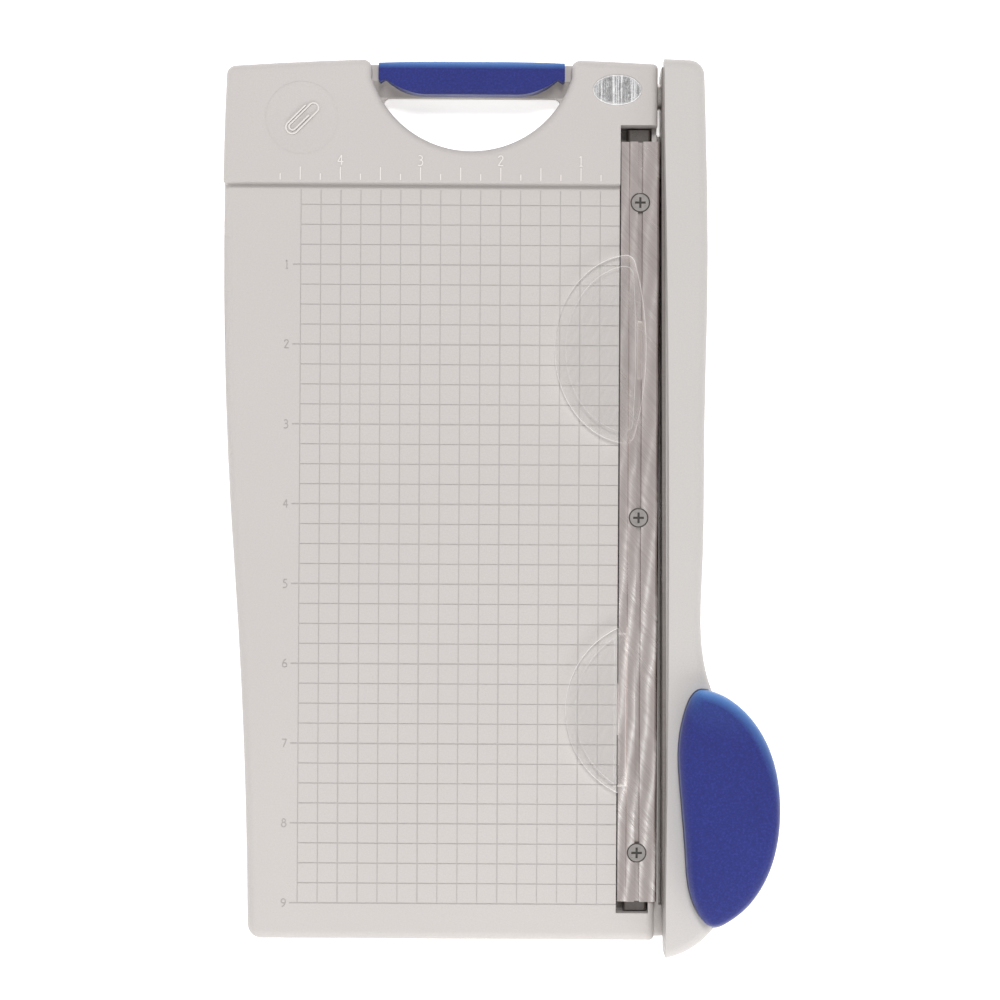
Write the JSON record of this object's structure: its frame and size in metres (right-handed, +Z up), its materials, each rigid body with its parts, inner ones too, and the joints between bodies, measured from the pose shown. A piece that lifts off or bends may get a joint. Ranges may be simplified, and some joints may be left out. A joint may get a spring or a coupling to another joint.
{
  "type": "paper trimmer",
  "caption": "Guillotine paper trimmer: hollow bed with an engraved grid, raised fence block and carry handle, screwed-down cutting bar, sliding clear finger guards and a hinged blade arm.",
  "frame": {"origin": "centre of the bounding box in plan, on the desk under the feet", "axes": "+X to the right across the cut line, +Y away from the user towards the carry handle, +Z up"},
  "size_m": [0.1762, 0.2836, 0.036],
  "materials": {
    "bed_plastic": "fine moulded grain, warm light grey",
    "cover_plastic": "moulded, warm light grey",
    "arm_plastic": "smooth satin, warm light grey",
    "blue_soft": "soft-touch matt, royal blue",
    "bar_steel": "obliquely ground, satin",
    "channel_steel": "pressed sheet steel",
    "blade_steel": "hardened, ground",
    "screw_steel": "zinc plated",
    "spring_steel": "drawn wire",
    "bronze": "sintered bronze",
    "magnet": "nickel plated",
    "badge_foil": "bright foil",
    "clear_plastic": "clear, polished",
    "foot_rubber": "matt black"
  },
  "bodies": {
    "base": {"base_shell": "bed_plastic", "bottom_cover": "cover_plastic", "cover_screws": "screw_steel", "rubber_feet": "foot_rubber", "clip_magnet": "magnet", "badge_plate": "badge_foil", "badge_dome": "clear_plastic", "carry_grip": "blue_soft", "fixed_blade": "bar_steel", "blade_bed": "channel_steel", "bar_screws": "screw_steel", "bed_screws": "screw_steel", "pivot_bolt": "screw_steel", "pivot_washers": "screw_steel", "pivot_spring": "spring_steel", "pivot_nut": "screw_steel"},
    "arm": {"arm_cover": "arm_plastic", "moving_blade": "blade_steel", "blade_screws": "screw_steel", "arm_grip": "blue_soft", "grip_screws": "screw_steel", "pivot_bushing": "bronze"},
    "upper_guard": {"guard_upper": "clear_plastic"},
    "lower_guard": {"guard_lower": "clear_plastic"}
  },
  "joints": [
    {"name": "arm_hinge", "type": "hinge", "parent": "base", "child": "arm", "pos_m": [0.05101, 0.13109, 0.0105], "axis": [-1, -0.007, 0], "range_deg": [0, 60]},
    {"name": "upper_guard_slide", "type": "slide", "parent": "base", "child": "upper_guard", "axis": [0, 1, 0], "range_m": [-0.028, 0.02]},
    {"name": "lower_guard_slide", "type": "slide", "parent": "base", "child": "lower_guard", "axis": [0, 1, 0], "range_m": [-0.028, 0.024]}
  ]
}
